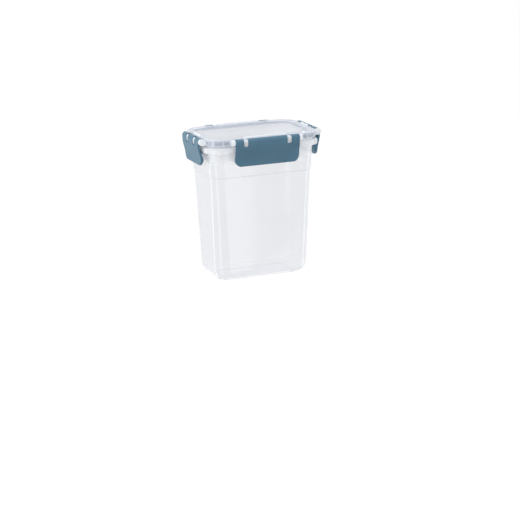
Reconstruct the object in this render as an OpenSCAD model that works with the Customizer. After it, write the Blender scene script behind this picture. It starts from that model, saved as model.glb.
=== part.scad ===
// Clip-lid food canister: tapered clear container, clear lid with a seal,
// and four hinged snap clips that hook under the container's flange.
// Millimetres. The origin is the centre of the base, +Z up, -Y is the front.

/* [Container] */
// Length of the body outline, continued down to the base plane
body_l = 103.8; // [90:0.2:120]
// Width of the body outline, continued down to the base plane
body_w = 61.6; // [50:0.2:80]
// Corner radius of the body at the base plane
body_r = 14.3; // [13.5:0.1:18]
// Outward lean of each wall, in mm for each mm of height
draft = 0.034; // [0.01:0.002:0.05]
// Wall thickness
wall = 1.6; // [1.2:0.1:2.2]
// Thickness of the base at its foot ring
base_t = 2.2; // [1.8:0.1:3]
// How far the rounded base edge reaches in from the wall
edge_in = 12; // [6:0.5:12]
// How far the rounded base edge reaches up the wall
edge_up = 11.3; // [6:0.1:16]
// Height of the step where the wider collar starts
step_z = 112; // [95:1:125]
// How far the collar stands out from the body below it
step_out = 1.1; // [0.6:0.1:1.6]
// Height of the container's open rim
rim_z = 149.6; // [148:0.1:150]

/* [Flange] */
// How far the locking flange stands out from the collar
flange_out = 4.8; // [4.2:0.1:5.2]
// Height of the flange's top
flange_top = 144; // [143:0.1:145]
// Height of the turned-down lip's lower edge, which the clips hook under
flange_low = 138.8; // [138:0.1:139.2]

/* [Lid] */
// How far the lid's skirt stands out from the collar
skirt_out = 2.8; // [2.6:0.1:3.2]
// Height of the skirt's lower edge
skirt_z = 146.4; // [145.5:0.1:147]
// Height of the lid's rim
lid_top = 153.4; // [153:0.1:154]
// Height of the sunk panel inside the rim
panel_z = 151.7; // [151:0.1:152]
// Width of the rim round the sunk panel
rim_w = 6.6; // [5:0.1:8]
// Height of the raised ledges beside the clips' middle knuckles
ledge_top = 154.5; // [154:0.1:155]

/* [Clips] */
// Half length of the two long clips
long_half = 35.1; // [32:0.1:36]
// Half length of the two short clips
short_half = 23.3; // [21:0.1:23.5]
// Distance of the notches from the middle of a long clip
long_notch = 23.9; // [18:0.1:26]
// Distance of the notches from the middle of a short clip
short_notch = 9.6; // [9:0.1:13]
// Width of each notch
notch_w = 5; // [4:0.1:5.2]
// Radius of a clip's knuckles
knuckle_r = 3.3; // [3.1:0.05:3.4]
// Radius of the rod that a clip turns on
rod_r = 1.5; // [1.2:0.05:1.6]
// Height of the hinge axes
pivot_z = 149.8; // [149.5:0.1:150]
// Distance from the lid's skirt to a hinge axis
pivot_out = 3.9; // [3.8:0.05:4.2]
// Length of a clip below its hinge axis
clip_drop = 25.4; // [23:0.1:27]
// Plate thickness of a clip
plate_t = 1.9; // [1.6:0.1:2.2]
// How far the clip's lower end leans in under its knuckles
lean = 3; // [2:0.1:3.2]

/* [Hidden] */

$fn = 64;
eps = 0.01;
fine = 32;                // $fn of the outlines inside a hull
corner_draft = 0.02;      // how much the corner radius closes up per mm of height
run_fit = 0.05;           // radial clearance of a rod in its hook
side_gap = 0.35;          // end gap between a clip and the lid's lugs and hooks
edge_steps = 6;           // slices of the rounded base edge
corner_x = [1, -1, -1, 1];
corner_y = [1, 1, -1, -1];

// Container, worked out from the driving sizes
collar_l = body_l + 2 * (draft * rim_z + step_out);
collar_w = body_w + 2 * (draft * rim_z + step_out);
collar_r = body_r - corner_draft * rim_z + step_out;
foot_w = 3.4;             // width of the ring that the base rests on
foot_h = 0.8;             // depth of the dished middle of the base
foot_r = 2;               // corner radius of the dish
flange_t = 1.5;           // thickness of the flange and its lip
flange_round = 1.1;       // rounding of the flange's outer top edge
flange_l = collar_l + 2 * flange_out;
flange_w = collar_w + 2 * flange_out;
flange_r = collar_r + flange_out;

// Lid
skirt_l = collar_l + 2 * skirt_out;
skirt_w = collar_w + 2 * skirt_out;
skirt_r = collar_r + skirt_out;
skirt_t = 1.3;
groove_z = 151.8;         // roof of the groove that holds the seal
rim_round = 1.2;          // rounding of the lid's outer top edge
panel_t = 1.6;
plug_gap = 0.5;           // gap between the lid's inner wall and the collar
plug_t = 1.6;
plug_z = 145.6;
plug_l = collar_l - 2 * (wall + plug_gap);
plug_w = collar_w - 2 * (wall + plug_gap);
plug_r = collar_r - wall - plug_gap;
ledge_t = 1.3;
ledge_end = 2.8;          // distance from a notch's middle to the ledge's end
gate_r = 1.3;             // dimple left by the mould's gate
gate_h = 0.35;
window_low = 147.3;
window_h = 4.2;
window_cut = 4;           // depth of the tool that cuts the windows
window_arcs = [[13, 41], [54, 84]];   // corner windows, degrees from the end wall
window_side = 6;          // length of the window on each long side
lug_w = 3.4;
lug_r = 3.2;
lug_arm = 2.6;            // height of a lug's arm above the hinge axis
ear_r = 3;
ear_arm = 1.8;            // height of a snap hook's arm above the hinge axis
mouth_w = 2.5;            // opening of the snap hooks, narrower than the rod

// Seal
seal_lift = 0.1;          // gap under the seal in the unloaded shape
seal_t = 0.55;            // thickness of the seal's outer flap
seal_low = 147;
seal_gap = 0.1;           // gap between the seal and the lid's walls
seal_l = skirt_l - 2 * (skirt_t + seal_gap);
seal_w = skirt_w - 2 * (skirt_t + seal_gap);
seal_r = skirt_r - skirt_t - seal_gap;
pad_w = (seal_l - plug_l) / 2 - seal_gap;

// Hinges and clips
pivot_x = skirt_l / 2 + pivot_out;
pivot_y = skirt_w / 2 + pivot_out;
notch_depth = 4.9;
notch_r = 0.8;
lean_from = 3;            // depth below the axis where the face starts to lean
lean_to = 21;
swell = 1.3;              // extra thickness of the finger grip
swell_from = 12.5;
profile_steps = 18;
clip_corner = 7;
hook_z = flange_low - 0.4;
hook_t = 1.6;
hook_reach = 4.4;         // how far the hook rib reaches in past the axis
hook_end = 3;             // how far the hook rib stops short of the clip's ends
gusset_n = 5;
gusset_t = 1.4;
gusset_h = 4;

// Smooth step from 0 to 1
function ease(t) = let (k = min(max(t, 0), 1)) k * k * (3 - 2 * k);
// Distance of a clip's outer face from its axis plane, at depth d below the axis
function face_at(d) = knuckle_r - lean * ease((d - lean_from) / (lean_to - lean_from));
// Plate thickness at depth d: it swells into a finger grip below the hook
function thick_at(d) = d < swell_from ? plate_t
    : plate_t + swell * pow(sin(180 * (d - swell_from) / (clip_drop - plate_t / 2 - swell_from)), 2);
function body_half_l(z) = body_l / 2 + draft * z;
function body_half_w(z) = body_w / 2 + draft * z;
function body_r_at(z) = body_r - corner_draft * z;

// Rectangle l by w with round corners, centred
module outline(l, w, r) {
    square([l, w - 2 * r], center = true);
    square([l - 2 * r, w], center = true);
    for (x = [-1, 1], y = [-1, 1])
        translate([x * (l / 2 - r), y * (w / 2 - r)])
            circle(r = r);
}

// Carries a profile round the outline l by w with corners r. The profile is drawn
// in (X, Y) with X = 0 on the outline, +X outwards and Y as the height.
module swept(l, w, r) {
    for (i = [0 : 3])
        translate([corner_x[i] * (l / 2 - r), corner_y[i] * (w / 2 - r), 0])
            rotate([0, 0, 90 * i])
                rotate_extrude(angle = 90)
                    translate([r, 0])
                        children();
    for (a = [0, 180]) {
        rotate([0, 0, a])
            translate([l / 2, 0, 0])
                rotate([90, 0, 0])
                    linear_extrude(w - 2 * r, center = true)
                        children();
        rotate([0, 0, a + 90])
            translate([w / 2, 0, 0])
                rotate([90, 0, 0])
                    linear_extrude(l - 2 * r, center = true)
                        children();
    }
}

// Upright strip of a profile, t thick inwards from its outer face at x
module strip(x, t, z0, z1) {
    translate([x - t, z0])
        square([t, z1 - z0]);
}

// Thin slice of the body's outline at height z, moved out by grow
module slice(z, grow) {
    translate([0, 0, z])
        linear_extrude(eps)
            outline(2 * (body_half_l(z) + grow), 2 * (body_half_w(z) + grow),
                    max(body_r_at(z) + grow, 1), $fn = fine);
}

// Drafted block between two heights
module drafted(z0, z1, grow) {
    hull() {
        slice(z0, grow);
        slice(z1 - eps, grow);
    }
}

// Drafted body with an elliptical rounded edge at its floor
module rounded_body(floor_z, top_z, grow) {
    edge_h = edge_up - floor_z;
    hull() {
        for (i = [0 : edge_steps])
            slice(floor_z + edge_h * (1 - cos(90 * i / edge_steps)),
                  grow - (edge_in + grow) * (1 - sin(90 * i / edge_steps)));
        slice(top_z, grow);
    }
}

// Flange that the clips lock under: a web with a round shoulder and a turned-down lip
module flange_section() {
    strip(0, flange_t, flange_low, flange_top - flange_round);
    strip(-flange_round, flange_out + wall / 2 - flange_round, flange_top - flange_t, flange_top);
    translate([-flange_round, flange_top - flange_round])
        circle(r = flange_round);
}

module container() {
    color([0.92, 0.93, 0.95, 0.4]) {
        difference() {
            union() {
                rounded_body(0, step_z, 0);
                drafted(step_z, rim_z, step_out);
            }
            rounded_body(base_t, step_z + wall, -wall);
            drafted(step_z + wall, rim_z + 2 * eps, step_out - wall);
            translate([0, 0, -eps])
                linear_extrude(foot_h + eps)
                    outline(body_l - 2 * (edge_in + foot_w), body_w - 2 * (edge_in + foot_w),
                            foot_r);
        }
        swept(flange_l, flange_w, flange_r)
            flange_section();
    }
}

// Puts its children at all four hinges: "long" ones first, then "short" ones.
// In a child's frame the axis is X, the outer side is -Y and the axis is at 0.
module at_long_hinges() {
    for (a = [0, 180])
        rotate([0, 0, a])
            translate([0, -pivot_y, pivot_z])
                children();
}

module at_short_hinges() {
    for (a = [-90, 90])
        rotate([0, 0, a])
            translate([0, -pivot_x, pivot_z])
                children();
}

// Extrudes a profile drawn in the (Y, Z) plane along X, centred
module along_x(len) {
    translate([-len / 2, 0, 0])
        rotate([90, 0, 90])
            linear_extrude(len)
                children();
}

// Snap hook that grips a clip's rod, open at the top
module snap_hook() {
    along_x(notch_w - 2 * side_gap)
        difference() {
            union() {
                circle(r = ear_r);
                translate([0, -ear_r])
                    square([pivot_out + skirt_t / 2, ear_r + ear_arm]);
            }
            circle(r = rod_r + run_fit);
            translate([-mouth_w / 2, 0])
                square([mouth_w, 2 * ear_r]);
        }
}

// Rounded lug that stops a clip from sliding endways
module end_lug() {
    along_x(lug_w) {
        circle(r = lug_r);
        translate([0, -lug_r])
            square([pivot_out + skirt_t / 2, lug_r + lug_arm]);
    }
}

// The lid's hinge fittings for one clip
module hinge_fittings(half, notch) {
    for (s = [-1, 1]) {
        translate([s * notch, 0, 0])
            snap_hook();
        translate([s * (half + side_gap + lug_w / 2), 0, 0])
            end_lug();
    }
    ledge_l = 2 * (notch - ledge_end);
    translate([-ledge_l / 2, pivot_out, groove_z - pivot_z])
        cube([ledge_l, ledge_t, ledge_top - groove_z]);
}

// Windows in one corner of the skirt: two round the bend, one on the long side
module corner_windows() {
    translate([skirt_l / 2 - skirt_r, skirt_w / 2 - skirt_r, window_low]) {
        for (arc = window_arcs)
            rotate([0, 0, arc[0]])
                rotate_extrude(angle = arc[1] - arc[0])
                    translate([skirt_r - window_cut / 2, 0])
                        square([window_cut, window_h]);
        translate([-window_side, skirt_r - window_cut / 2, 0])
            cube([window_side, window_cut, window_h]);
    }
}

// Section of the lid's edge: skirt, round shoulder and raised rim
module rim_section() {
    strip(0, skirt_t, skirt_z, lid_top - rim_round);
    strip(-rim_round, rim_w - 2 * rim_round, groove_z, lid_top);
    strip(-rim_w + rim_round, rim_round, panel_z - eps, lid_top - rim_round);
    intersection() {
        strip(0, rim_w, groove_z, lid_top);
        for (x = [-rim_round, -rim_w + rim_round])
            translate([x, lid_top - rim_round])
                circle(r = rim_round);
    }
}

// Section of the wall that drops inside the container
module plug_section() {
    strip(0, plug_t, plug_z + plug_t / 2, groove_z + eps);
    translate([-plug_t / 2, plug_z + plug_t / 2])
        circle(d = plug_t);
}

module lid() {
    color([0.88, 0.9, 0.92, 0.45]) {
        difference() {
            swept(skirt_l, skirt_w, skirt_r)
                rim_section();
            for (x = [0, 1], y = [0, 1])
                mirror([x, 0, 0])
                    mirror([0, y, 0])
                        corner_windows();
        }
        swept(plug_l, plug_w, plug_r)
            plug_section();
        difference() {
            translate([0, 0, panel_z - panel_t])
                linear_extrude(panel_t)
                    outline(plug_l - plug_t, plug_w - plug_t, plug_r - plug_t / 2);
            translate([0, 0, panel_z - gate_h])
                cylinder(r = gate_r, h = 2 * gate_h);
        }
        at_long_hinges()
            hinge_fittings(long_half, long_notch);
        at_short_hinges()
            hinge_fittings(short_half, short_notch);
    }
}

// Section of the seal: a flat pad that the container's rim presses, and a thin
// flap that hangs outside the rim
module seal_section() {
    strip(0, pad_w, rim_z + seal_lift, groove_z - eps);
    strip(0, seal_t, seal_low + seal_t / 2, groove_z - eps);
    translate([-seal_t / 2, seal_low + seal_t / 2])
        circle(d = seal_t);
}

module seal() {
    color([0.55, 0.6, 0.68])
        swept(seal_l, seal_w, seal_r)
            seal_section();
}

// Cross-section of a clip in (Y, Z): knuckle, leaning plate and finger grip
module clip_section() {
    low = clip_drop - plate_t / 2;
    depths = [for (i = [0 : profile_steps]) low * i / profile_steps];
    outer = [for (d = depths) [-face_at(d), -d]];
    inner = [for (d = depths) [thick_at(d) - face_at(d), -d]];
    circle(r = knuckle_r);
    polygon(concat(outer, [for (i = [profile_steps : -1 : 0]) inner[i]]));
    translate([plate_t / 2 - face_at(low), -low])
        circle(d = plate_t);
}

// Cross-section of the rib that hooks under the flange
module hook_section() {
    depth = pivot_z - hook_z;
    translate([-face_at(depth) + plate_t / 2, -depth - hook_t])
        square([face_at(depth) - plate_t / 2 + hook_reach - hook_t / 2, hook_t]);
    translate([hook_reach - hook_t / 2, -depth - hook_t / 2])
        circle(d = hook_t);
}

// Front outline of a clip: square top, rounded lower corners
module clip_outline(half) {
    translate([-half, -clip_corner])
        square([2 * half, clip_corner + 2 * knuckle_r]);
    translate([0, knuckle_r - clip_drop / 2])
        outline(2 * half, clip_drop + 2 * knuckle_r, clip_corner);
}

// One clip with its hinge axis at the origin along X and its face towards -Y
module clip(half, notch) {
    difference() {
        intersection() {
            along_x(2 * half)
                clip_section();
            rotate([90, 0, 0])
                linear_extrude(4 * knuckle_r, center = true)
                    clip_outline(half);
        }
        for (s = [-1, 1])
            translate([s * notch, 0, 0])
                rotate([90, 0, 0])
                    linear_extrude(4 * knuckle_r, center = true)
                        translate([0, knuckle_r - notch_depth / 2])
                            outline(notch_w, notch_depth + 2 * knuckle_r, notch_r);
    }
    along_x(2 * (notch + notch_w))
        circle(r = rod_r);
    along_x(2 * (half - hook_end))
        hook_section();
    gussets(half - 2 * hook_end);
}

// Webs that stiffen the hook rib from below
module gussets(half) {
    depth = pivot_z - hook_z + hook_t;
    root = thick_at(depth) - face_at(depth);
    for (i = [0 : gusset_n - 1])
        translate([half * (2 * i / (gusset_n - 1) - 1), 0, 0])
            along_x(gusset_t)
                polygon([[root - plate_t / 2, -depth + eps], [hook_reach - hook_t, -depth + eps],
                         [root - plate_t / 2, -depth - gusset_h]]);
}

module clip_front() {
    color([0.31, 0.42, 0.5])
        translate([0, -pivot_y, pivot_z])
            clip(long_half, long_notch);
}

module clip_rear() {
    color([0.31, 0.42, 0.5])
        rotate([0, 0, 180])
            translate([0, -pivot_y, pivot_z])
                clip(long_half, long_notch);
}

module clip_left() {
    color([0.31, 0.42, 0.5])
        rotate([0, 0, -90])
            translate([0, -pivot_x, pivot_z])
                clip(short_half, short_notch);
}

module clip_right() {
    color([0.31, 0.42, 0.5])
        rotate([0, 0, 90])
            translate([0, -pivot_x, pivot_z])
                clip(short_half, short_notch);
}

container();
lid();
seal();
clip_front();
clip_rear();
clip_left();
clip_right();
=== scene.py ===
"""Looks of the clip-lid food canister: clear moulded body and lid, grey-blue seal and steel-blue
snap clips. Everything is in metres in the CAD frame: +Z up, origin at the centre of the base, -Y
the front.
"""
import math

import bmesh
import bpy
import numpy as np
from mathutils import Matrix, Vector
from mathutils.bvhtree import BVHTree


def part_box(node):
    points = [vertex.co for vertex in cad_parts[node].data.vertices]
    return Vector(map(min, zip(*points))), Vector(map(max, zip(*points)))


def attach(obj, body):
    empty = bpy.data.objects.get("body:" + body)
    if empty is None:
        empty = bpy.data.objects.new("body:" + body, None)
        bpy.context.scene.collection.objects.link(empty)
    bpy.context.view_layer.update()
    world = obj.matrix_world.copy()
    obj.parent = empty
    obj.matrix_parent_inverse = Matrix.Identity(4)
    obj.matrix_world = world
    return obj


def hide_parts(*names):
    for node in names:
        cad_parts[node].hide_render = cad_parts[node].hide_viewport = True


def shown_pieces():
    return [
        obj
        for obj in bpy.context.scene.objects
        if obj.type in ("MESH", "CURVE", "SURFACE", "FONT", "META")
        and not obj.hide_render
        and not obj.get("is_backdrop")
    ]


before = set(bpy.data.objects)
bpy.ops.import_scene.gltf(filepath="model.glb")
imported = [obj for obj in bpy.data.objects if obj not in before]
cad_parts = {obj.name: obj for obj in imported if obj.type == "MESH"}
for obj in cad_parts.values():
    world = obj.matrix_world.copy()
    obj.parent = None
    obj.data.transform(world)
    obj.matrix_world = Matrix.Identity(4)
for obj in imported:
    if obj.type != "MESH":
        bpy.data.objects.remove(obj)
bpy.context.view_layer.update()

MM = 0.001

# ---------------------------------------------------------------- image points
# Pixels of the photograph, 520 by 520, measured from its top left corner.
W, H = 520, 520
POINTS = {
    "left": 181.9,
    "right": 321.2,
    "top": 118.9,
    "bottom": 280.4,
    "front_clip_top_left": (236.0, 139.9),
    "front_clip_top_right": (299.7, 134.4),
    "front_clip_bottom": (268.5, 165.2),
    "front_notch_left": (246.3, 142.6),
    "front_notch_right": (290.4, 138.5),
    "left_clip_bottom": (194.5, 162.3),
    "rear_clip_left_knuckle": (208.5, 125.3),
    "body_step_left": (237.7, 177.8),
    "body_step_right": (296.0, 171.1),
    "gate_mark": (251.2, 130.8),
    "corner_window": (219.8, 144.4),
}

# ------------------------------------------------------- sizes, from the frame
body_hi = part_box("container")[1]
lid_lo, lid_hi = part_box("lid")
seal_lo, seal_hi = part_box("seal")
front_lo, front_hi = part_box("clip_front")
side_lo, side_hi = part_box("clip_right")

# Container
RIM_Z = body_hi.z                     # open rim of the container
FLANGE_HALF = body_hi.x               # half length of the locking flange
SIDE_DIFF = body_hi.x - body_hi.y     # half length less half width, the same at every height
DRAFT = 0.034                         # lean of the walls, m per m
CORNER_DRAFT = 0.02                   # the corners close up by this much, m per m
WALL = 1.6 * MM
FLANGE_OUT = 4.8 * MM
FLANGE_T = 1.5 * MM
FLANGE_TOP = 144 * MM
FLANGE_LOW = 138.8 * MM
FLANGE_ROUND = 1.1 * MM               # rounding of the flange's outer top edge
BODY_SOFT = 0.35 * MM                 # rounding of the container's small edges
STEP_Z = 112 * MM
STEP_OUT = 1.1 * MM
STEP_NEAR = 0.8 * MM                  # rows of the mesh this near the step keep its line of painted shade thin
STEP_SHADE_HALF = 0.5 * MM                  # half the height of the line of painted shade at the step
COLLAR_ROWS = np.linspace(120, 136, 5) * MM   # rows of the mesh over which the milk sets in
EDGE_IN = 12 * MM                     # the rounded base edge, inwards
EDGE_UP = 11.3 * MM                   # and upwards
BASE_T = 2.2 * MM
FOOT_W = 3.4 * MM
FOOT_H = 0.8 * MM
DISH_EDGE = 3 * MM                    # from the foot to the ring that the dish closes
MILK_LOW, MILK_HIGH = 124 * MM, 139 * MM   # the body turns milky between these heights
FOOT_MILK_H, FOOT_MILK_IN = 4 * MM, 5 * MM   # and half as milky up to here and this far in
COLLAR_HALF = FLANGE_HALF - FLANGE_OUT
BODY_HALF = COLLAR_HALF - STEP_OUT - DRAFT * RIM_Z
CORNER_R = 14.3 * MM                  # of the corners at the base

# Lid
SKIRT_HALF = COLLAR_HALF + 2.8 * MM
SKIRT_T = 1.3 * MM
SKIRT_Z = 146.4 * MM
LID_TOP = 153.4 * MM
PANEL_Z = 151.7 * MM
PANEL_T = 1.6 * MM
GROOVE_Z = 151.8 * MM
GATE_R = 1.3 * MM                     # dimple left by the mould's gate
GATE_H = 0.35 * MM
GATE_SOFT = 0.12 * MM                 # rounding of the dimple's edges
RIM_W = 6.6 * MM
RIM_ROUND = 1.2 * MM
RIM_MILK = 0.8                        # how milky the rim and the skirt are, from 0 to 1
SKIRT_MILK_Z = 152.1 * MM             # top of the milky skirt; the line over it stays clear
LID_SOFT = 0.3 * MM                   # rounding of the lid's small edges
PANEL_EDGE = 4 * MM                   # from the rim to the ring that the panel closes
PLUG_HALF = COLLAR_HALF - 2.1 * MM    # the inner wall that guides the lid in the rim
PLUG_T = 1.6 * MM
PLUG_Z = lid_lo.z
LID_CENTRE = COLLAR_HALF - (CORNER_R - CORNER_DRAFT * RIM_Z + STEP_OUT)
WINDOW_Z = (147.3 * MM, 151.4 * MM)
WINDOW_ARCS = ((13, 41), (54, 84))    # degrees round each corner from the end wall
WINDOW_SIDE = 6 * MM                  # window on the long side, beside each corner
WINDOW_KEY = 1 - WINDOW_SIDE / LID_CENTRE   # the same as a share of the straight side
LEDGE_TOP = lid_hi.z

# Seal
SEAL_LIP = 0.55 * MM                  # thickness of the lip outside the rim
SEAL_NOSE = 0.3 * MM                  # height of its pointed end
SEAL_TIP = 0.25 * MM                  # and how far in from its outside the point is
SEAL_GAP = 0.1 * MM                   # clearance of the seal at the rim and the inner wall

# Hinges and clips
PIVOT_Z = 149.8 * MM
KNUCKLE_R = front_hi.z - PIVOT_Z
ROD_R = 1.5 * MM
ROD_FIT = 0.05 * MM                   # radial clearance of the rod in its hook
SIDE_GAP = 0.35 * MM                  # end gap between a clip and the lid's hooks and lugs
LEDGE_END = 0.8 * MM                  # from a notch's middle to the ledge's end
PIVOT_OUT = 3.9 * MM                  # from the skirt out to a clip's axis
LONG_HALF = front_hi.x                # half length of the front and rear clips
SHORT_HALF = side_hi.y                # and of the clips at the ends
LONG_NOTCH = 23.9 * MM                # from a clip's middle to each notch's, front and rear
SHORT_NOTCH = 9.6 * MM                # and at the ends
NOTCH_W = 5 * MM
NOTCH_DEPTH = 4.9 * MM                # below the axis
CLIP_DROP = PIVOT_Z - front_lo.z      # from the axis to a clip's lower edge
PLATE_T = 1.9 * MM
LEAN, LEAN_FROM, LEAN_OVER = 3 * MM, 3 * MM, 18 * MM   # inwards, from this depth, over this run
SWELL, SWELL_FROM = 1.3 * MM, 12.5 * MM   # of the finger grip, from this depth
CLIP_CORNER = 7 * MM                  # radius of the lower corners
CLIP_SOFT, SNAP_SOFT = 0.4 * MM, 0.25 * MM   # rounding of the edges of clips and of hooks
RIB_DEPTH = PIVOT_Z - FLANGE_LOW + 0.4 * MM   # the rib sits 0.4 mm under the flange's lip
RIB_T = 1.6 * MM
RIB_REACH = 4.4 * MM
RIB_END = 4.5 * MM                    # from the clip's end to the rib's
WEB_T, WEB_H, WEB_END = 1.4 * MM, 4 * MM, 6 * MM   # the webs that brace the rib
RIB_ROOT, WEB_ROOT, WEB_OVER = 0.8 * MM, 0.4 * MM, 0.2 * MM   # their laps into plate and rib
SNAP_R = 3 * MM                       # outer radius of a snap hook
SNAP_MOUTH = 2.5 * MM                 # its opening, narrower than the rod
SNAP_ARM = 1.8 * MM                   # top of its arm over the axis
SNAP_NOSE, SNAP_TOE = 3.2 * MM, 2.2 * MM   # where its leg turns in, and how far out it ends
SNAP_GAP = 0.5 * MM                   # room between the leg and the notch's lower edge
LUG_R, LUG_ARM, LUG_W = 3.2 * MM, 2.6 * MM, 3.4 * MM   # nose radius, top of the arm, width
NEAR = 0.1 * MM                       # tolerance where rows of a profile are told by place


# ------------------------------------------------------------------- materials
def srgb(code):
    """Linear RGBA of an sRGB hex colour such as "4f6c7e"."""
    c = np.array([int(code[i:i + 2], 16) for i in (0, 2, 4)]) / 255
    linear = np.where(c <= 0.04045, c / 12.92, ((c + 0.055) / 1.055) ** 2.4)
    return (*linear.tolist(), 1.0)


def node(tree, kind, links=None, **settings):
    """Adds a node. Settings are attributes, or sockets where the key starts with an underscore;
    links maps an input's name or number to the output socket that feeds it."""
    made = tree.nodes.new(kind)
    for key, value in settings.items():
        if key.startswith("_"):
            made.inputs[key[1:].replace("_", " ")].default_value = value
        else:
            setattr(made, key, value)
    for key, source in (links or {}).items():
        tree.links.new(source, made.inputs[key])
    return made


def new_material(name):
    """An empty node material and its tree, with Object coordinates to hang patterns on."""
    made = bpy.data.materials.new(name)
    made.use_nodes = True
    made.node_tree.nodes.clear()
    return made, made.node_tree, node(made.node_tree, "ShaderNodeTexCoord").outputs["Object"]


def ramp(tree, noise, tones, positions):
    """A colour ramp over a noise node's Fac, with one hex colour at each of two positions."""
    made = node(tree, "ShaderNodeValToRGB", {"Fac": noise.outputs["Fac"]})
    for stop, tone, position in zip(made.color_ramp.elements, tones, positions):
        stop.position = position
        stop.color = srgb(tone)
    return made


def mixed(tree, share, colour, tone):
    """The colour output of a node that mixes a colour with a hex tone by a share."""
    made = node(tree, "ShaderNodeMix", {0: share, 6: colour}, data_type="RGBA")
    made.inputs[7].default_value = srgb(tone)
    return made.outputs[2]


STEP_SHADE_TONE = "d9dadd"  # painted shade: tone of the thin darker line drawn along the step in the wall
GLOW = 0.5            # share of the cloudy part that passes light on instead of sending it back


def clear_plastic(name, tones, milk, bend, haze):
    """Clear polypropylene, injection moulded and cooled against a polished tool: see-through but a
    little milky, more so edge-on where the eye looks through more of it and where the moulding is
    thick, with a faint orange-peel ripple and slow changes of tint where the wall cooled. The body
    bends light little, as a thin milky wall does, and its outer skin carries the gloss of
    polypropylene as a coat. Lamps shine through it, so its shadow is as light as a clear box's.
    tones are its two face tones, the one where it is thick and the one edge-on; milk is the cloudy
    share of a wall seen square, edge-on and where the piece's attribute "thick" is 1; haze is the
    roughness range. Where the piece's step attribute is 1, the outer skin's colour is mixed to a
    darker tone: painted shade, a thin line standing in for the shade and bending of light at the step."""
    made, tree, place = new_material(name)
    flow = node(tree, "ShaderNodeTexNoise", {"Vector": place}, _Scale=22.0, _Detail=2.0)
    tint = ramp(tree, flow, tones[:2], (0.3, 0.7))
    cloud = node(tree, "ShaderNodeMapRange", {"Value": flow.outputs["Fac"]},
                 _To_Min=haze[0], _To_Max=haze[1])
    peel = node(tree, "ShaderNodeTexNoise", {"Vector": place}, _Scale=260.0, _Detail=1.0)
    bump = node(tree, "ShaderNodeBump", {"Height": peel.outputs["Fac"]},
                _Strength=0.05, _Distance=0.05 * MM)
    edge = node(tree, "ShaderNodeLayerWeight", _Blend=0.5)
    depth = node(tree, "ShaderNodeMath", {0: edge.outputs["Facing"]}, operation="POWER")
    depth.inputs[1].default_value = 3.0
    skin = node(tree, "ShaderNodeNewGeometry")
    outer = node(tree, "ShaderNodeMath", {1: skin.outputs["Backfacing"]}, operation="SUBTRACT")
    outer.inputs[0].default_value = 1.0
    thick = node(tree, "ShaderNodeAttribute", attribute_name="thick")
    dense = mixed(tree, thick.outputs["Fac"], tint.outputs["Color"], tones[2])
    body = mixed(tree, depth.outputs[0], dense, tones[3])
    # Painted shade: a thin darker line along the step, on the outer skin only.
    jog = node(tree, "ShaderNodeAttribute", attribute_name="jog")
    line = node(tree, "ShaderNodeMath", {0: jog.outputs["Fac"], 1: outer.outputs[0]},
                operation="MULTIPLY")
    shade = mixed(tree, line.outputs[0], body, STEP_SHADE_TONE)
    clear = node(tree, "ShaderNodeMapRange", {"Value": depth.outputs[0]},
                 _To_Min=1 - milk[0], _To_Max=1 - milk[1])
    through = node(tree, "ShaderNodeMapRange", {"Value": thick.outputs["Fac"],
                                                "To Min": clear.outputs["Result"]},
                   _To_Max=1 - milk[2])
    shader = node(tree, "ShaderNodeBsdfPrincipled",
                  {"Base Color": shade, "Roughness": cloud.outputs["Result"],
                   "Normal": bump.outputs["Normal"], "Coat Weight": outer.outputs[0],
                   "Transmission Weight": through.outputs["Result"]},
                  _IOR=bend, _Coat_IOR=1.49, _Coat_Roughness=0.08)
    glow = node(tree, "ShaderNodeBsdfTranslucent", {"Color": shade})
    cloud_share = node(tree, "ShaderNodeMapRange", {"Value": through.outputs["Result"]},
                       _To_Min=GLOW, _To_Max=0.0)
    milky = node(tree, "ShaderNodeMixShader", {"Fac": cloud_share.outputs["Result"],
                                               1: shader.outputs["BSDF"], 2: glow.outputs["BSDF"]})
    lamp = node(tree, "ShaderNodeBsdfTransparent", _Color=srgb("f4f4f4"))
    path = node(tree, "ShaderNodeLightPath")
    surface = node(tree, "ShaderNodeMixShader", {"Fac": path.outputs["Is Shadow Ray"],
                                                 1: milky.outputs[0], 2: lamp.outputs["BSDF"]})
    node(tree, "ShaderNodeOutputMaterial", {"Surface": surface.outputs[0]})
    return made


def clip_plastic(name):
    """Coloured polypropylene, injection moulded in a spark-eroded tool: satin, steel blue, with a
    fine pebble grain of about 0.4 mm and a slow mottling of the pigment."""
    made, tree, place = new_material(name)
    pigment = node(tree, "ShaderNodeTexNoise", {"Vector": place}, _Scale=60.0, _Detail=3.0)
    tint = ramp(tree, pigment, ("3d647a", "446d83"), (0.3, 0.7))
    grain = node(tree, "ShaderNodeTexNoise", {"Vector": place}, _Scale=2500.0, _Detail=1.0)
    gloss = node(tree, "ShaderNodeMapRange", {"Value": grain.outputs["Fac"]},
                 _To_Min=0.36, _To_Max=0.46)
    bump = node(tree, "ShaderNodeBump", {"Height": grain.outputs["Fac"]},
                _Strength=0.12, _Distance=0.03 * MM)
    shader = node(tree, "ShaderNodeBsdfPrincipled",
                  {"Base Color": tint.outputs["Color"], "Roughness": gloss.outputs["Result"],
                   "Normal": bump.outputs["Normal"]}, _IOR=1.49)
    node(tree, "ShaderNodeOutputMaterial", {"Surface": shader.outputs["BSDF"]})
    return made


def silicone(name):
    """Silicone rubber, compression moulded: matte, grey-blue, faintly powdery."""
    made, tree, place = new_material(name)
    powder = node(tree, "ShaderNodeTexNoise", {"Vector": place}, _Scale=900.0, _Detail=2.0)
    tint = ramp(tree, powder, ("b2bbc7", "bec7d1"), (0, 1))
    shader = node(tree, "ShaderNodeBsdfPrincipled", {"Base Color": tint.outputs["Color"]},
                  _IOR=1.41, _Roughness=0.6)
    node(tree, "ShaderNodeOutputMaterial", {"Surface": shader.outputs["BSDF"]})
    return made


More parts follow.
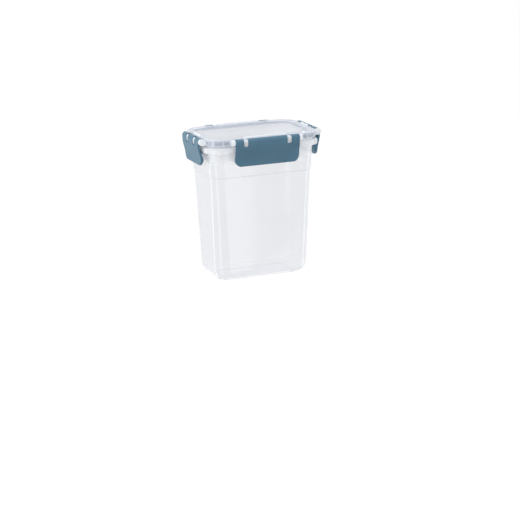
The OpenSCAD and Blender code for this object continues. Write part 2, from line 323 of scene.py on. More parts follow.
# -------------------------------------------------------------------- surfaces
def outline_keys(arcs=(), side_mark=None, arc_steps=45, side_steps=16):
    """A round rectangle as four arrays kx, ky, nx, ny, anticlockwise from the +X end of its +Y corner.
    A point is x = kx * (half_x - r) + r * nx, y = ky * (half_y - r) + r * ny, so one set of keys
    serves every ring. arcs adds corner angles that a window's edges need, side_mark a key on the
    long sides in place of any within 0.02 of it, both mirrored into all four corners."""
    marks = sorted({a for arc in arcs for a in arc})
    angles = np.array(sorted(set(np.linspace(0, 90, arc_steps + 1)) | set(marks)))
    spread = np.linspace(-1, 1, side_steps + 1)[1:-1]
    long_side = spread
    if side_mark is not None:
        keep = np.abs(np.abs(spread) - side_mark) > 0.02
        long_side = np.array(sorted([*spread[keep], -side_mark, side_mark]))
    keys = []
    for quarter in range(4):
        sx, sy = ((1, 1), (-1, 1), (-1, -1), (1, -1))[quarter]
        turn = angles if quarter % 2 == 0 else 90 - angles[::-1]
        phi = np.radians(turn + 90 * quarter)
        one = np.ones_like(phi)
        keys.append(np.array([sx * one, sy * one, np.cos(phi), np.sin(phi)]))
        run = long_side if quarter % 2 == 0 else spread
        flat, full = np.zeros_like(run), np.ones_like(run)
        side = ((-run, full, flat, full), (-full, -run, -full, flat),
                (run, -full, flat, -full), (full, run, full, flat))[quarter]
        keys.append(np.array(side))
    return np.concatenate(keys, axis=1)


def rings(profile, keys, centre):
    """Rings of a swept profile: row i is a round rectangle whose half length is profile[i, 0], at
    height profile[i, 1]; its corners turn about centre(height), so their radius is the half length
    less that, and at least 1 mm."""
    half, z = profile[:, :1], profile[:, 1:]
    r = np.maximum(half - centre(z), 1 * MM)
    kx, ky, nx, ny = keys
    x = kx * (half - r) + r * nx
    y = ky * (half - SIDE_DIFF - r) + r * ny
    return np.stack([x, y, np.broadcast_to(z, x.shape)], axis=-1)


def grid_faces(rows, columns, wrap_rows=False, keep=None):
    """Quads of a rows by columns grid whose columns close on themselves; keep is a mask of the
    quads that stay, rows by columns."""
    i = np.arange(rows if wrap_rows else rows - 1)[:, None]
    j = np.arange(columns)[None, :]
    i2, j2 = (i + 1) % rows, (j + 1) % columns
    quads = np.stack([i * columns + j, i * columns + j2, i2 * columns + j2, i2 * columns + j], -1)
    quads = quads.reshape(-1, 4)
    return quads if keep is None else quads[keep.reshape(-1)]


def fan(pole, ring):
    """Triangles from a pole to each step of a closed ring, all given by point number."""
    return np.column_stack([np.full(len(ring), pole), ring, np.roll(ring, -1)])


def mesh_piece(name, points, faces, material):
    """A mesh object from an array of points and a list of face arrays, one array for each number of
    corners or kind of face. It is smooth but for edges over 40 degrees."""
    data = bpy.data.meshes.new(name)
    data.from_pydata(np.asarray(points).reshape(-1, 3).tolist(), [],
                     [face for group in faces for face in np.asarray(group).tolist()])
    data.update()
    data.validate()
    data.shade_smooth()
    data.set_sharp_from_angle(angle=math.radians(40))
    data.materials.append(material)
    made = bpy.data.objects.new(name, data)
    bpy.context.scene.collection.objects.link(made)
    return made


def arc(x, z, radius, start, end, steps=6):
    """Points on a circle about (x, z), from start to end in degrees, as profile rows."""
    t = np.radians(np.linspace(start, end, steps + 1))
    return np.column_stack([x + radius * np.cos(t), z + radius * np.sin(t)])


def mark_rows(piece, name, columns, rows):
    """Gives a swept piece a point attribute, one value per row of its grid, 0 at the poles."""
    values = np.zeros(len(piece.data.vertices), np.float32)
    values[:columns * len(rows)] = np.repeat(rows, columns)
    piece.data.attributes.new(name, "FLOAT", "POINT").data.foreach_set("value", values)


def closed_shell(name, grid, faces, material):
    """A piece from a grid of rings and its faces: a fan to a pole on the Z axis closes the first
    ring and the last, at their height."""
    rows, columns = grid.shape[:2]
    poles = np.array([[0, 0, grid[0, 0, 2]], [0, 0, grid[-1, 0, 2]]])
    first, last = np.arange(columns), np.arange(columns) + (rows - 1) * columns
    fans = [fan(rows * columns, first)[:, ::-1], fan(rows * columns + 1, last)]
    return mesh_piece(name, np.vstack([grid.reshape(-1, 3), poles]), faces + fans, material)


def ease(t):
    """Smooth step from 0 to 1."""
    t = np.clip(t, 0, 1)
    return t * t * (3 - 2 * t)


def body_half(z):
    """Half length of the drafted body at height z."""
    return BODY_HALF + DRAFT * z


def body_centre(z):
    """Where the body's corner arcs are centred at height z, measured along X."""
    return BODY_HALF - CORNER_R + (DRAFT + CORNER_DRAFT) * z


def lid_centre(z):
    """Where the lid's corner arcs are centred: the same at every height."""
    return np.full_like(z, LID_CENTRE)


def container_profile():
    """Section of the container from the middle of the base's underside, out over the foot ring, up
    the leaning wall, round the flange and the rim, and down the inside to the middle of the floor.
    The base edge is a quarter ellipse and every other edge a small arc."""
    soft = BODY_SOFT
    turn = np.radians(np.linspace(0, 90, 17))[:, None]
    outer_edge = np.hstack([BODY_HALF - EDGE_IN * (1 - np.sin(turn)),
                            EDGE_UP * (1 - np.cos(turn))])
    inner_edge = np.hstack([BODY_HALF - WALL - (EDGE_IN - WALL) * (1 - np.sin(turn)),
                            BASE_T + (EDGE_UP - BASE_T) * (1 - np.cos(turn))])
    for edge in (outer_edge, inner_edge):
        edge[:, 0] += DRAFT * edge[:, 1]
    foot = BODY_HALF - EDGE_IN - FOOT_W
    step = body_half(STEP_Z)
    collar = body_half(FLANGE_LOW) + STEP_OUT
    web_low = FLANGE_TOP - FLANGE_T
    lip_in = FLANGE_HALF - FLANGE_T
    rim = COLLAR_HALF - WALL / 2
    inner_step = STEP_Z + WALL
    wall_rows = (EDGE_UP + 2 * MM, 40 * MM, 80 * MM)
    parts = [
        [[foot - DISH_EDGE, FOOT_H], [foot - soft, FOOT_H]],
        arc(foot - soft, FOOT_H - soft, soft, 90, 0, 3),
        [[foot + soft, 0]],
        outer_edge,
        [[body_half(h), h] for h in (*wall_rows, STEP_Z - STEP_NEAR)],
        [[step, STEP_Z - soft / 2]],
        arc(step + STEP_OUT - soft, STEP_Z + soft, soft, -90, 0, 4),
        [[body_half(h) + STEP_OUT, h] for h in (STEP_Z + STEP_NEAR, *COLLAR_ROWS, FLANGE_LOW)],
        [[collar + DRAFT * (web_low - FLANGE_LOW), web_low - soft], [collar + 2 * soft, web_low]],
        [[lip_in - soft, web_low], [lip_in, web_low - soft]],
        arc(lip_in + FLANGE_T / 2, FLANGE_LOW + FLANGE_T / 2, FLANGE_T / 2, 180, 360, 10),
        arc(FLANGE_HALF - FLANGE_ROUND, FLANGE_TOP - FLANGE_ROUND, FLANGE_ROUND, 0, 90, 6),
        [[COLLAR_HALF - DRAFT * (RIM_Z - FLANGE_TOP) + soft, FLANGE_TOP],
         [COLLAR_HALF - DRAFT * (RIM_Z - FLANGE_TOP), FLANGE_TOP + soft]],
        arc(rim, RIM_Z - WALL / 2, WALL / 2, 0, 180, 8),
        [[body_half(h) + STEP_OUT - WALL, h]
         for h in (*COLLAR_ROWS[::-1], inner_step + 1.5 * MM)],
        [[step + STEP_OUT - WALL, inner_step + soft], [step + STEP_OUT - WALL - soft, inner_step]],
        [[step - WALL, inner_step - soft]],
        [[body_half(h) - WALL, h] for h in (STEP_Z - 1.5 * MM, *wall_rows[::-1])],
        inner_edge[::-1],
        [[foot - DISH_EDGE, BASE_T]],
    ]
    return np.vstack([np.asarray(p, float) for p in parts])


def lid_profile():
    """Section of the lid from the middle of its panel, over the raised rim, down the skirt and back
    up inside it, along the seal's groove and round the inner wall to the middle of the underside.
    Returns the profile and the rows of the skirt's outer and inner faces where windows are cut."""
    soft = LID_SOFT
    rim_in = SKIRT_HALF - RIM_W
    inner = SKIRT_HALF - SKIRT_T
    plug_in = PLUG_HALF - PLUG_T
    low, high = WINDOW_Z
    parts = [
        [[rim_in - PANEL_EDGE, PANEL_Z], [rim_in - 2 * soft, PANEL_Z]],
        arc(rim_in - 2 * soft, PANEL_Z + 2 * soft, 2 * soft, -90, 0, 4),
        arc(rim_in + RIM_ROUND / 2, LID_TOP - RIM_ROUND / 2, RIM_ROUND / 2, 180, 90, 5),
        arc(SKIRT_HALF - RIM_ROUND, LID_TOP - RIM_ROUND, RIM_ROUND, 90, 0, 7),
    ]
    outer_rows = sum(len(p) for p in parts)
    parts += [
        [[SKIRT_HALF, high], [SKIRT_HALF, low]],
        [[SKIRT_HALF, SKIRT_Z + soft]],
        arc(SKIRT_HALF - soft, SKIRT_Z + soft, soft, 0, -90, 3),
        arc(inner + soft, SKIRT_Z + soft, soft, -90, -180, 3),
    ]
    inner_rows = sum(len(p) for p in parts)
    parts += [
        [[inner, low], [inner, high]],
        [[inner, GROOVE_Z - 0.1 * MM], [inner - soft, GROOVE_Z]],
        [[PLUG_HALF + soft, GROOVE_Z], [PLUG_HALF, GROOVE_Z - soft]],
        arc((PLUG_HALF + plug_in) / 2, PLUG_Z + PLUG_T / 2, PLUG_T / 2, 0, -180, 10),
        [[plug_in, PANEL_Z - PANEL_T - soft], [plug_in - soft, PANEL_Z - PANEL_T]],
        [[rim_in - PANEL_EDGE, PANEL_Z - PANEL_T]],
    ]
    return np.vstack([np.asarray(p, float) for p in parts]), outer_rows, inner_rows


def gate_rows(ring):
    """Circles that close the panel's inner ring to the dimple of the mould's gate: each point of a
    circle lies in the direction of the ring's point in the same column."""
    across = ring[:, :2] / np.linalg.norm(ring[:, :2], axis=1, keepdims=True)
    hub, soft = 0.3 * MM, GATE_SOFT
    steps = np.array([[hub, -GATE_H], [GATE_R - 2 * soft, -GATE_H],
                      [GATE_R - soft, soft - GATE_H], [GATE_R, -soft], [GATE_R + soft, 0],
                      [2 * GATE_R, 0]])
    spread = steps[:, :1, None] * across[None]
    height = np.broadcast_to(PANEL_Z + steps[:, 1:, None], spread.shape[:2] + (1,))
    return np.concatenate([spread, height], axis=2)


def make_lid(material):
    """The lid shell with its corner windows: quads inside a window are left out of the skirt's outer
    and inner faces, and strips join the two faces round each opening."""
    profile, outer_row, inner_row = lid_profile()
    keys = outline_keys(WINDOW_ARCS, WINDOW_KEY)
    grid = rings(profile, keys, lid_centre)
    gate = gate_rows(grid[0])
    outer_row, inner_row = outer_row + len(gate), inner_row + len(gate)
    grid = np.concatenate([gate, grid])
    rows, columns = grid.shape[:2]
    along, across, nx, ny = np.abs(keys + np.roll(keys, -1, axis=1)) / 2
    angle = np.degrees(np.arctan2(ny, nx))
    corner = np.minimum(along, across) > 0.999
    window = ~corner & (across > 0.999) & (along > WINDOW_KEY)
    for start, end in WINDOW_ARCS:
        window |= corner & (angle > start) & (angle < end)
    keep = np.ones((rows - 1, columns), bool)
    keep[[outer_row, inner_row]] = ~window
    high_out, low_out = outer_row * columns, (outer_row + 1) * columns
    low_in, high_in = inner_row * columns, (inner_row + 1) * columns
    j = np.flatnonzero(window)
    k = (j + 1) % columns
    start, end = j[~window[j - 1]], k[~window[k]]
    faces = [grid_faces(rows, columns, keep=keep)] + [np.column_stack(corners) for corners in (
        (high_out + j, high_out + k, high_in + k, high_in + j),
        (low_out + k, low_out + j, low_in + j, low_in + k),
        (low_out + start, high_out + start, high_in + start, low_in + start),
        (high_out + end, low_out + end, low_in + end, high_in + end))]
    made = closed_shell("lid_shell", grid, faces, material)
    x, z = grid[:, 0, 0], grid[:, 0, 2]
    in_skirt = (x > SKIRT_HALF - SKIRT_T - NEAR) & (z < SKIRT_MILK_Z)
    on_rim = (x > SKIRT_HALF - RIM_W + NEAR) & (z > LID_TOP - RIM_ROUND)
    mark_rows(made, "thick", columns, np.where(in_skirt | on_rim, RIM_MILK, 0))
    return made


def make_container(material):
    """The container's shell: its profile swept round, milkier at the collar and at the foot."""
    profile, keys = container_profile(), outline_keys()
    grid = rings(profile, keys, body_centre)
    rows, columns = grid.shape[:2]
    made = closed_shell("container_shell", grid, [grid_faces(rows, columns)], material)
    x, z = profile.T
    collar = ease((z - MILK_LOW) / (MILK_HIGH - MILK_LOW))
    foot = ease((FOOT_MILK_H - z) / (FOOT_MILK_H - 1 * MM)) * (x > BODY_HALF - FOOT_MILK_IN)
    mark_rows(made, "thick", columns, np.maximum(collar, 0.5 * foot))
    # Rows along the step, where the material paints a thin line of shade.
    step_shade_rows = (x > body_half(STEP_Z) - NEAR) & (np.abs(z - STEP_Z) < STEP_SHADE_HALF)
    mark_rows(made, "jog", columns, step_shade_rows)
    return made


def make_seal(material):
    """The seal in the lid's groove: a flat ring over the container's rim with a lip that hangs down
    outside it. The profile is a closed loop, so both ways of the grid wrap."""
    out, low, high = seal_hi.x, seal_lo.z, seal_hi.z
    inner, lip_in = PLUG_HALF + SEAL_GAP, out - SEAL_LIP
    profile = np.array([[out, high], [out, low + SEAL_NOSE], [out - SEAL_TIP, low],
                        [lip_in, low + SEAL_NOSE], [lip_in, RIM_Z + SEAL_GAP],
                        [inner, RIM_Z + SEAL_GAP], [inner, high]])
    grid = rings(profile, outline_keys(), lid_centre)
    return mesh_piece("seal_ring", grid, [grid_faces(*grid.shape[:2], wrap_rows=True)], material)


# ------------------------------------------------------------ hinges and clips
def hinge_matrix(side):
    """From a clip's own frame, axis along X and outer side -Y, to its hinge on the lid."""
    turn, reach = {
        "front": (0, SKIRT_HALF - SIDE_DIFF), "rear": (180, SKIRT_HALF - SIDE_DIFF),
        "left": (-90, SKIRT_HALF), "right": (90, SKIRT_HALF),
    }[side]
    move = Matrix.Translation((0, -reach - PIVOT_OUT, PIVOT_Z))
    return Matrix.Rotation(math.radians(turn), 4, "Z") @ move


def placed(points, matrix):
    """Points moved by a 4 by 4 matrix."""
    m = np.array(matrix)
    return np.asarray(points) @ m[:3, :3].T + m[:3, 3]


def prism(section, x0, x1):
    """A straight bar along X with the given (Y, Z) section: its points and faces, ends closed."""
    n = len(section)
    ends = [np.column_stack([np.full(n, x), section]) for x in (x0, x1)]
    j = np.arange(n)
    k = (j + 1) % n
    return np.vstack(ends), [np.column_stack([j, k, k + n, j + n]), np.stack([j[::-1], j + n])]


def joined(parts):
    """Several (points, faces) pairs as one pair."""
    starts = np.cumsum([0] + [len(points) for points, _ in parts])
    faces = [group + start for (_, groups), start in zip(parts, starts) for group in groups]
    return np.vstack([points for points, _ in parts]), faces


def rounded_edges(piece, width, segments=3):
    """Rounds the edges of a piece that turn over 35 degrees by width, and applies it."""
    bevel = piece.modifiers.new("edges", "BEVEL")
    bevel.width = width
    bevel.segments = segments
    bevel.limit_method = "ANGLE"
    bevel.angle_limit = math.radians(35)
    bpy.context.view_layer.objects.active = piece
    with bpy.context.temp_override(object=piece, active_object=piece, selected_objects=[piece]):
        bpy.ops.object.modifier_apply(modifier=bevel.name)
    piece.data.shade_smooth()
    piece.data.set_sharp_from_angle(angle=math.radians(50))
    return piece


def hook_section():
    """Section of a snap hook: a ring open at the top, with a leg that fills the clip's notch, inside
    the circle that the notch's edge turns on, and an arm back to the skirt."""
    bore, low = ROD_R + ROD_FIT, SNAP_GAP - NOTCH_DEPTH
    gap, outer_gap = (math.degrees(math.asin(SNAP_MOUTH / 2 / r)) for r in (bore, SNAP_R))
    top = math.degrees(math.asin(SNAP_ARM / SNAP_R))
    nose = arc(0, 0, SNAP_R, 90 + outer_gap, 180, 10)
    leg = [[-SNAP_R, -SNAP_NOSE], [-SNAP_TOE, low]]
    arm = [[PIVOT_OUT, low], [PIVOT_OUT, SNAP_ARM]]
    front = arc(0, 0, SNAP_R, top, 90 - outer_gap, 5)
    inside = arc(0, 0, bore, 450 - gap, 90 + gap, 24)
    return np.vstack([nose, leg, arm, front, inside])


def lug_section():
    """Section of an end lug: a round nose with an arm back to the skirt."""
    nose = arc(0, 0, LUG_R, math.degrees(math.asin(LUG_ARM / LUG_R)), 270, 24)
    return np.vstack([nose, [[PIVOT_OUT, -LUG_R], [PIVOT_OUT, LUG_ARM]]])


def ledge_part(side, notch):
    """The low wall on the lid beside one clip's middle knuckle, as points and faces."""
    low, high = GROOVE_Z - PIVOT_Z, LEDGE_TOP - PIVOT_Z
    section = [[PIVOT_OUT, low], [PIVOT_OUT + SKIRT_T, low], [PIVOT_OUT + SKIRT_T, high],
               [PIVOT_OUT, high]]
    points, faces = prism(section, LEDGE_END - notch, notch - LEDGE_END)
    return placed(points, hinge_matrix(side)), faces


def hinge_parts(side, half, notch):
    """Snap hooks and end lugs of one hinge, in the CAD frame, as (points, faces) pairs."""
    hook_half, lug_at = NOTCH_W / 2 - SIDE_GAP, half + SIDE_GAP + LUG_W / 2
    bars = [prism(hook_section(), x - hook_half, x + hook_half) for x in (-notch, notch)]
    bars += [prism(lug_section(), x - LUG_W / 2, x + LUG_W / 2) for x in (-lug_at, lug_at)]
    return [(placed(points, hinge_matrix(side)), faces) for points, faces in bars]


def face_at(depth):
    """Distance of a clip's outer face from its axis plane at a depth below the axis."""
    return KNUCKLE_R - LEAN * ease((depth - LEAN_FROM) / LEAN_OVER)


def thick_at(depth):
    """Thickness of a clip's plate: it swells into a finger grip below the hook."""
    share = np.clip((depth - SWELL_FROM) / (CLIP_DROP - PLATE_T / 2 - SWELL_FROM), 0, 1)
    return PLATE_T + SWELL * np.sin(np.pi * share) ** 2


def clip_sheets():
    """Outer and inner (Y, Z) lines of a clip, from the top of its knuckle to its lower edge, row by
    row, and the number of rows above the notches' lower edge."""
    outside, inside = np.radians(np.linspace(90, 0, 9)), np.radians(np.linspace(90, -35, 9))
    depth = np.linspace(NOTCH_DEPTH, CLIP_DROP - PLATE_T / 2, 24)
    outer = np.vstack([KNUCKLE_R * np.column_stack([-np.cos(outside), np.sin(outside)]),
                       np.column_stack([-face_at(depth), -depth])])
    inner = np.vstack([KNUCKLE_R * np.column_stack([np.cos(inside), np.sin(inside)]),
                       np.column_stack([thick_at(depth) - face_at(depth), -depth])])
    nose = np.radians(np.linspace(0, 90, 5))[1:]
    mid = (outer[-1] + inner[-1]) / 2
    turn = PLATE_T / 2 * np.column_stack([np.cos(nose), -np.sin(nose)])
    return np.vstack([outer, mid + turn * (-1, 1)]), np.vstack([inner, mid + turn]), len(outside)


def clip_shell(half, notch):
    """One clip's knuckles and plate: a double sheet of rows down the clip, from clip_sheets, times
    columns along X. Quads inside a notch are left out, the lower corners are rounded by drawing the
    columns in with depth, and walls join the two sheets round every edge."""
    outer, inner, notch_row = clip_sheets()
    rows = len(outer)
    edges = [-half, -notch - NOTCH_W / 2, -notch + NOTCH_W / 2, notch - NOTCH_W / 2,
             notch + NOTCH_W / 2, half]
    columns = np.concatenate([np.linspace(a, b, n + 1)[:-1]
                              for a, b, n in zip(edges, edges[1:], (6, 3, 20, 3, 6))] + [[half]])
    count = len(columns)
    drop = np.maximum(-outer[:, 1] - (CLIP_DROP - CLIP_CORNER), 0)
    cut = CLIP_CORNER - np.sqrt(np.maximum(CLIP_CORNER ** 2 - drop ** 2, 0))
    corner_zone = np.clip((np.abs(columns) - (half - CLIP_CORNER)) / CLIP_CORNER, 0, 1)
    x = columns - np.sign(columns) * corner_zone * cut[:, None]
    sheets = [np.stack(np.broadcast_arrays(x, line[:, :1], line[:, 1:]), -1)
              for line in (outer, inner)]
    centre = (columns[1:] + columns[:-1]) / 2
    solid = np.ones((rows - 1, count - 1), bool)
    solid[:notch_row, np.abs(np.abs(centre) - notch) < NOTCH_W / 2] = False
    ringed = np.pad(solid, 1)
    shift, number = rows * count, np.arange(rows * count).reshape(rows, count)
    a, b, c, d = number[:-1, :-1], number[:-1, 1:], number[1:, 1:], number[1:, :-1]
    quads = ((solid, (a, d, c, b)), (solid, (a + shift, b + shift, c + shift, d + shift)),
             (solid & ~ringed[1:-1, :-2], (a, a + shift, d + shift, d)),
             (solid & ~ringed[1:-1, 2:], (b, c, c + shift, b + shift)),
             (solid & ~ringed[:-2, 1:-1], (a, b, b + shift, a + shift)),
             (solid & ~ringed[2:, 1:-1], (d, d + shift, c + shift, c)))
    faces = [np.column_stack([corner[mask] for corner in corners]) for mask, corners in quads]
    return np.concatenate(sheets).reshape(-1, 3), faces


def clip_details(half, notch):
    """The rod that the lid's hooks grip, the rib that hooks under the flange, and its webs. Rib and
    webs start inside the plate."""
    rod = prism(arc(0, 0, ROD_R, 0, 345, 23), -notch - NOTCH_W, notch + NOTCH_W)
    root = thick_at(RIB_DEPTH) - face_at(RIB_DEPTH) - RIB_ROOT
    tip = arc(RIB_REACH - RIB_T / 2, -RIB_DEPTH - RIB_T / 2, RIB_T / 2, 90, -90, 8)
    rib = np.vstack([[[root, -RIB_DEPTH - RIB_T], [root, -RIB_DEPTH]], tip])[::-1]
    low = RIB_DEPTH + RIB_T
    top, end = WEB_OVER - low, low + WEB_H
    foot = thick_at(end) - face_at(end) - WEB_ROOT
    web = [[foot, -end], [RIB_REACH - RIB_T, top], [foot, top]]
    webs = [prism(web, x - WEB_T / 2, x + WEB_T / 2)
            for x in np.linspace(-1, 1, 5) * (half - WEB_END)]
    return joined([rod, prism(rib, RIB_END - half, half - RIB_END), *webs])


def make_clip(side, half, notch, material):
    """One clip in place: its bevelled plate, and its rod, rib and webs in one piece."""
    matrix = hinge_matrix(side)
    points, faces = clip_shell(half, notch)
    plate = merge(mesh_piece("clip_" + side + "_plate", placed(points, matrix), faces, material))
    rounded_edges(plate, CLIP_SOFT)
    points, faces = clip_details(half, notch)
    inside = mesh_piece("clip_" + side + "_rod_and_rib", placed(points, matrix), faces, material)
    return plate, inside


def merge(piece):
    """Merges doubled points and makes every face point outwards."""
    bm = bmesh.new()
    bm.from_mesh(piece.data)
    bmesh.ops.remove_doubles(bm, verts=bm.verts, dist=0.001 * MM)
    bmesh.ops.recalc_face_normals(bm, faces=bm.faces)
    bm.to_mesh(piece.data)
    bm.free()
    return piece


# --------------------------------------------------------------------- pieces
clear_body = clear_plastic("clear_polypropylene_body", ("f1f2f4", "f3f4f6", "eeeff1", "e8eaee"),
                           (0.02, 0.1, 0.5), 1.02, (0.03, 0.06))
clear_lid = clear_plastic("clear_polypropylene_lid", ("e3e5ea", "e7e9ee", "dfe2e8", "dfe2e8"),
                          (0.12, 0.3, 0.75), 1.04, (0.05, 0.1))
# Hooks, lugs, ledges, stub: the lid's plastic, milkier where thick; its paler tone is painted light.
clear_hooks_painted_light = clear_plastic("clear_polypropylene_hooks_painted_light", ("f2f4f6", "f4f6f8", "f0f2f5", "f0f2f5"),
                            (0.7, 0.75, 0.75), 1.04, (0.05, 0.1))
blue = clip_plastic("steel_blue_polypropylene_clip")
rubber = silicone("grey_blue_silicone_seal")

container = merge(make_container(clear_body))
lid = merge(make_lid(clear_lid))
seal = merge(make_seal(rubber))

# Each clip's side, half length and distance from its middle to a notch's.
CLIPS = (("front", LONG_HALF, LONG_NOTCH), ("rear", LONG_HALF, LONG_NOTCH),
         ("left", SHORT_HALF, SHORT_NOTCH), ("right", SHORT_HALF, SHORT_NOTCH))
fittings = joined([part for clip in CLIPS for part in hinge_parts(*clip)])
hinge_fittings = merge(mesh_piece("lid_hooks_and_lugs", *fittings, clear_hooks_painted_light))
rounded_edges(hinge_fittings, SNAP_SOFT, 2)
walls = joined([ledge_part(side, notch) for side, _, notch in CLIPS])
ledges = rounded_edges(merge(mesh_piece("lid_ledges", *walls, clear_hooks_painted_light)), LID_SOFT, 2)

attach(container, "container")
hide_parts("container")
for piece in (lid, hinge_fittings, ledges):
    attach(piece, "lid")
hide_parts("lid")
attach(seal, "lid")
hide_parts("seal")
for side, half, notch in CLIPS:
    shell, inside = make_clip(side, half, notch, blue)
    for piece in (shell, inside):
        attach(piece, "clip_" + side)
    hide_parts("clip_" + side)


# ---------------------------------------------------------------------- camera
CAMERA_AZIMUTH = math.radians(21.742)   # of the line of sight, from +Y towards +X
CAMERA_DROP = math.radians(15.165)      # how far it looks down
CAMERA_ROLL = math.radians(-1.151)
CAMERA_PLACE = Vector((-0.6719, -1.7023, 0.5080))
CAMERA_LENS = 123.47
SENSOR = 36.0

ahead = Vector((math.sin(CAMERA_AZIMUTH) * math.cos(CAMERA_DROP),
                math.cos(CAMERA_AZIMUTH) * math.cos(CAMERA_DROP), -math.sin(CAMERA_DROP)))
level = Vector((math.cos(CAMERA_AZIMUTH), -math.sin(CAMERA_AZIMUTH), 0))
upright = level.cross(ahead)
across = math.cos(CAMERA_ROLL) * level + math.sin(CAMERA_ROLL) * upright
above = -math.sin(CAMERA_ROLL) * level + math.cos(CAMERA_ROLL) * upright
camera_data = bpy.data.cameras.new("camera")
camera_data.lens = CAMERA_LENS
camera_data.sensor_width = SENSOR
camera_data.sensor_fit = "AUTO"
camera = bpy.data.objects.new("camera", camera_data)
camera_turn = Matrix((across, above, -ahead)).transposed()
camera.matrix_world = Matrix.Translation(CAMERA_PLACE) @ camera_turn.to_4x4()
bpy.context.scene.collection.objects.link(camera)
bpy.context.scene.camera = camera


# ------------------------------------------------------------------- gate stub
def place_on(name, carrier):
    """Where the ray through an image point meets a finished piece, or the place on the piece that is
    nearest the ray where it misses, looked for over the distances that span the canister."""
    x, y = POINTS[name]
    size = max(W, H)
    ray = camera.matrix_world.to_3x3() @ Vector((
        x - W / 2 + camera_data.shift_x * size, H / 2 - y + camera_data.shift_y * size,
        -size * CAMERA_LENS / SENSOR)).normalized()
    tree = BVHTree.FromPolygons([v.co for v in carrier.data.vertices],
                                [p.vertices[:] for p in carrier.data.polygons])
    place = tree.ray_cast(CAMERA_PLACE, ray)[0]
    if place is None:
        along = [CAMERA_PLACE + ray * t for t in np.arange(1.5, 2.2, MM)]
        place = min(map(tree.find_nearest, along), key=lambda found: found[3])[0]
    return place


def gate_stub(place, material):
    """The stub of the gate, twisted off in the dimple: a turned profile with a torn, wavy top, whose
    height is its rows' height plus a small wave round the axis."""
    columns = np.arange(24)
    turn = 2 * math.pi * columns / len(columns)
    rows = np.array([[0.62, -0.1], [0.58, 0.12], [0.46, 0.24], [0.2, 0.28]]) * MM
    wave = 0.04 * MM * np.sin(3 * turn + 1)
    points = np.stack([rows[:, :1] * np.cos(turn), rows[:, :1] * np.sin(turn),
                       rows[:, 1:] + wave * (rows[:, 1:] > 0)], -1)
    caps = [columns[::-1], columns + (len(rows) - 1) * len(columns)]
    faces = [grid_faces(*points.shape[:2]), caps]
    return mesh_piece("gate_stub", points.reshape(-1, 3) + np.array(place), faces, material)


stub = merge(gate_stub(place_on("gate_mark", lid), clear_hooks_painted_light))
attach(stub, "lid")


# ------------------------------------------------------ world, floor and lamps
WORLD_FILL = 0.455    # brightness of the world as it lights the object; the lens sees it white
FLOOR_FILL = 0.85     # share of plain white that the lens sees in the floor; the rest takes shadow
FLOOR_GLOW = 1.12     # brightness of that white
FLOOR_HALF = 4.0


def seen_by_lens(tree):
    """1 for camera, mirror and see-through rays, 0 for the rays that light the object."""
    path = node(tree, "ShaderNodeLightPath")
    seen = path.outputs["Is Camera Ray"]
    for kind in ("Is Glossy Ray", "Is Transmission Ray"):
        seen = node(tree, "ShaderNodeMath", {0: seen, 1: path.outputs[kind]},
                    operation="MAXIMUM").outputs[0]
    return seen


world = bpy.data.worlds.new("studio")
world.use_nodes = True
tree = world.node_tree
tree.nodes.clear()
strength = node(tree, "ShaderNodeMapRange", {"Value": seen_by_lens(tree)},
                _To_Min=WORLD_FILL, _To_Max=1.0)
backdrop = node(tree, "ShaderNodeBackground", {"Strength": strength.outputs["Result"]},
                _Color=srgb("ffffff"))
node(tree, "ShaderNodeOutputWorld", {"Surface": backdrop.outputs["Background"]})
bpy.context.scene.world = world

floor_material, tree, _ = new_material("pale_floor")
diffuse = node(tree, "ShaderNodeBsdfDiffuse", _Color=srgb("cccccc"))
plain = node(tree, "ShaderNodeEmission", _Color=srgb("ffffff"), _Strength=FLOOR_GLOW)
share = node(tree, "ShaderNodeMath", {0: seen_by_lens(tree)}, operation="MULTIPLY")
share.inputs[1].default_value = FLOOR_FILL
both = node(tree, "ShaderNodeMixShader", {"Fac": share.outputs[0], 1: diffuse.outputs[0],
                                          2: plain.outputs[0]})
node(tree, "ShaderNodeOutputMaterial", {"Surface": both.outputs[0]})
corners = FLOOR_HALF * np.array([[-1, -1, 0], [1, -1, 0], [1, 1, 0], [-1, 1, 0]])
floor = mesh_piece("floor", corners, [[[0, 1, 2, 3]]], floor_material)
floor.visible_glossy = False
floor.visible_transmission = False
floor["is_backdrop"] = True


def soft_box(name, place, aim, width, height, power):
    """A studio soft box: a rectangular area lamp at place that faces aim."""
    data = bpy.data.lights.new(name, "AREA")
    data.shape = "RECTANGLE"
    data.size, data.size_y = width, height
    data.energy = power
    data.spread = math.radians(180)
    made = bpy.data.objects.new(name, data)
    made.location = place
    made.rotation_euler = (Vector(aim) - Vector(place)).to_track_quat("-Z", "Y").to_euler()
    made.visible_camera = False
    bpy.context.scene.collection.objects.link(made)
    return made


def around(azimuth, distance, height):
    """A place round the canister: azimuth in degrees from the front, positive to the left."""
    a = math.radians(azimuth)
    return (-math.sin(a) * distance, -math.cos(a) * distance, height)


# Four tall soft boxes, two at the sides that no surface mirrors, and one overhead. The tall ones
# reach below the floor, so that upright walls seen from above mirror them over their whole height.
BOX_H, BOX_DISTANCE = 1.4, 0.62
MIDDLE = (0, 0, 0.1)                  # where every lamp aims
for name, azimuth, width, power in (("box_rear_left", 128, 0.2, 1.6), ("box_left", 60, 0.2, 1.6),
                                    ("box_right", -67, 0.2, 1.5), ("box_front", -17, 0.06, 0.35)):
    tall = soft_box(name, around(azimuth, BOX_DISTANCE, 0.1), MIDDLE, width, BOX_H, power)
    tall.visible_transmission = False    # so no lamp stands behind the clear walls
for name, azimuth, power in (("box_side", 94, 4.2), ("box_far_side", -62, 1.6)):
    soft_box(name, around(azimuth, 0.9, 0.35), MIDDLE, 1.0, 0.9, power).visible_glossy = False
soft_box("box_top", (-0.12, -0.3, 1.4), MIDDLE, 1.0, 1.0, 9.5)
bpy.context.scene.view_settings.view_transform = "Standard"

# ------------------------------------------------- how the points and sizes fall
bpy.context.view_layer.update()


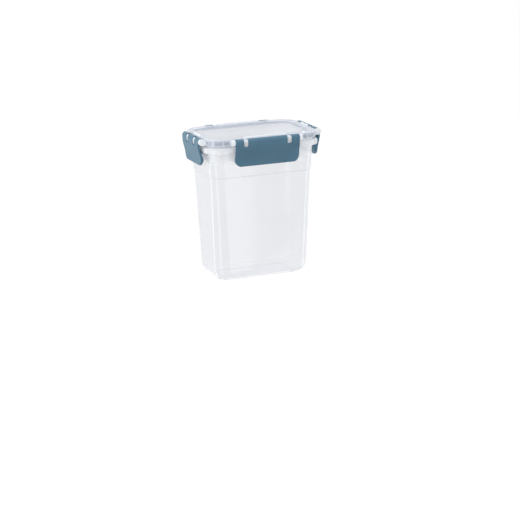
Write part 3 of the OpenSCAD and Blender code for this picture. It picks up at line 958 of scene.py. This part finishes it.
def pixels(points):
    """Where points of the CAD frame fall in the photograph's frame."""
    view = placed(points, camera.matrix_world.inverted())
    scale = max(W, H) * CAMERA_LENS / SENSOR / -view[:, 2]
    return np.column_stack([W / 2 + view[:, 0] * scale, H / 2 - view[:, 1] * scale])


def pixel(point):
    """The same for one point."""
    return pixels([point])[0]


def silhouette():
    """Lowest and highest x and y, in pixels, of every finished vertex of the object."""
    found = []
    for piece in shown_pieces():
        co = np.empty(len(piece.data.vertices) * 3)
        piece.data.vertices.foreach_get("co", co)
        found.append(pixels(co.reshape(-1, 3)))
    every = np.vstack(found)
    return every.min(0), every.max(0)


low, high = silhouette()
front_y = -(SKIRT_HALF - SIDE_DIFF + PIVOT_OUT)
# The window's middle shows 70 degrees round its corner, the knuckle's edge 75 degrees up.
window_in, window_out = ((SKIRT_HALF - LID_CENTRE) * f(math.radians(70))
                         for f in (math.cos, math.sin))
knuckle_in, knuckle_up = (KNUCKLE_R * f(math.radians(75)) for f in (math.cos, math.sin))
step_y = SIDE_DIFF - body_half(STEP_Z) - STEP_OUT
features = {
    "front_clip_top_left": (-LONG_HALF, front_y - knuckle_in, PIVOT_Z + knuckle_up),
    "front_clip_top_right": (LONG_HALF, front_y - knuckle_in, PIVOT_Z + knuckle_up),
    "front_clip_bottom": (0, front_y, front_lo.z),
    "front_notch_left": (-LONG_NOTCH, front_y - KNUCKLE_R, PIVOT_Z),
    "front_notch_right": (LONG_NOTCH, front_y - KNUCKLE_R, PIVOT_Z),
    "left_clip_bottom": (-SKIRT_HALF - PIVOT_OUT, 0, side_lo.z),
    "rear_clip_left_knuckle": (-(LONG_HALF + LONG_NOTCH + NOTCH_W / 2) / 2, -front_y,
                               PIVOT_Z + KNUCKLE_R),
    "body_step_left": (-30 * MM, step_y, STEP_Z),
    "body_step_right": (35 * MM, step_y, STEP_Z),
    "gate_mark": (0, 0, PANEL_Z),
    "corner_window": (-LID_CENTRE - window_in, SIDE_DIFF - LID_CENTRE - window_out,
                      sum(WINDOW_Z) / 2),
}
errors = {name: (pixel(place) - POINTS[name]).round(2).tolist() for name, place in features.items()}
errors.update({"left": round(low[0] - POINTS["left"], 2), "right": round(high[0] - POINTS["right"], 2),
               "top": round(low[1] - POINTS["top"], 2), "bottom": round(high[1] - POINTS["bottom"], 2)})
